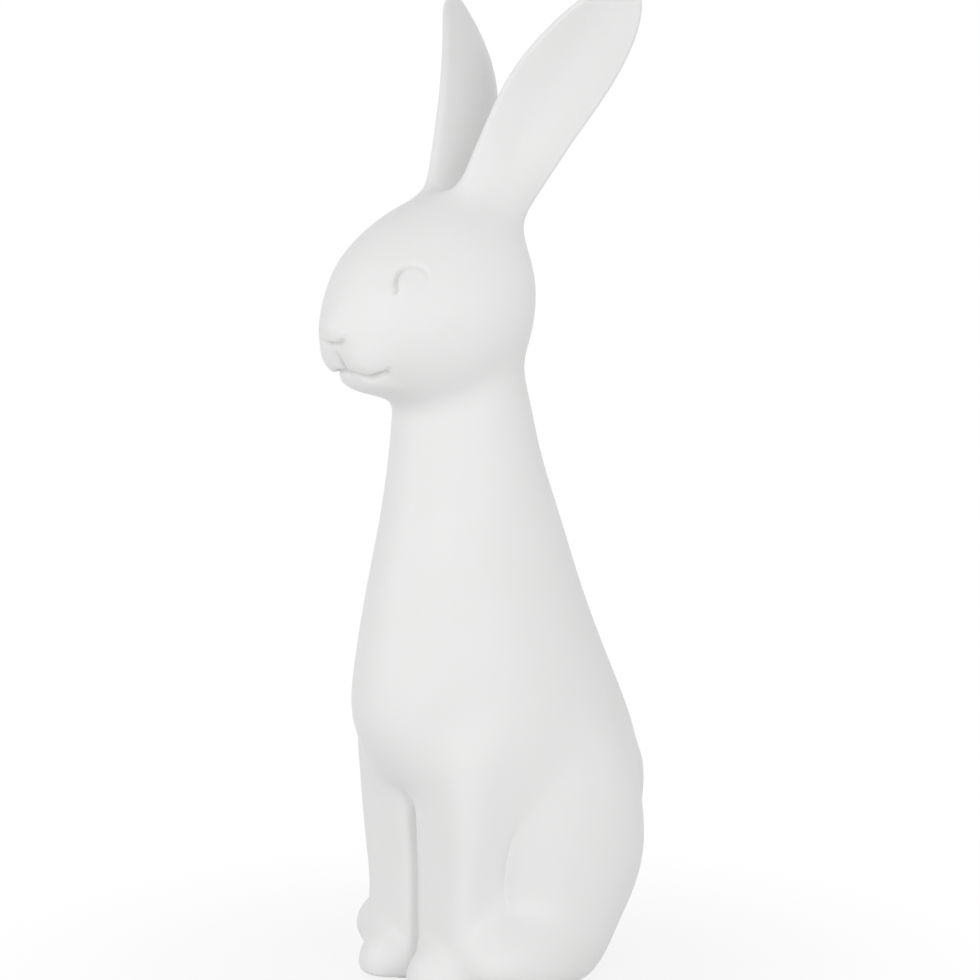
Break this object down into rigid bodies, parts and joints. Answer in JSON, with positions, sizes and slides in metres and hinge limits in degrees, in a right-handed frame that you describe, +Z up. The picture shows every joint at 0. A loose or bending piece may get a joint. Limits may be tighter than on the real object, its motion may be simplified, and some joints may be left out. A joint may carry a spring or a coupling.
{
  "type": "rabbit figurine",
  "caption": "Tall sitting rabbit ornament with a long tapering body and raised ears, hollow cast and finished in white satin glaze, standing free on felt pads.",
  "frame": {"origin": "centre of the figure's footprint box, on the surface that it stands on", "axes": "+Z up, -Y the way the rabbit looks, +X its own left side"},
  "size_m": [0.12, 0.145, 0.4026],
  "materials": {
    "white_glaze": "smooth satin white glaze over slip-cast earthenware",
    "bare_clay": "wiped, unglazed fired clay on the underside",
    "felt": "pressed wool felt, stuck on"
  },
  "bodies": {
    "root": {"torso_shell": "white_glaze", "head_shell": "white_glaze", "ear_left": "white_glaze", "ear_right": "white_glaze", "foreleg_left": "white_glaze", "foreleg_right": "white_glaze", "haunch_left": "white_glaze", "haunch_right": "white_glaze", "hind_foot_left": "white_glaze", "hind_foot_right": "white_glaze", "tail": "white_glaze", "base_plate": "bare_clay", "felt_pads": "felt"}
  },
  "joints": []
}
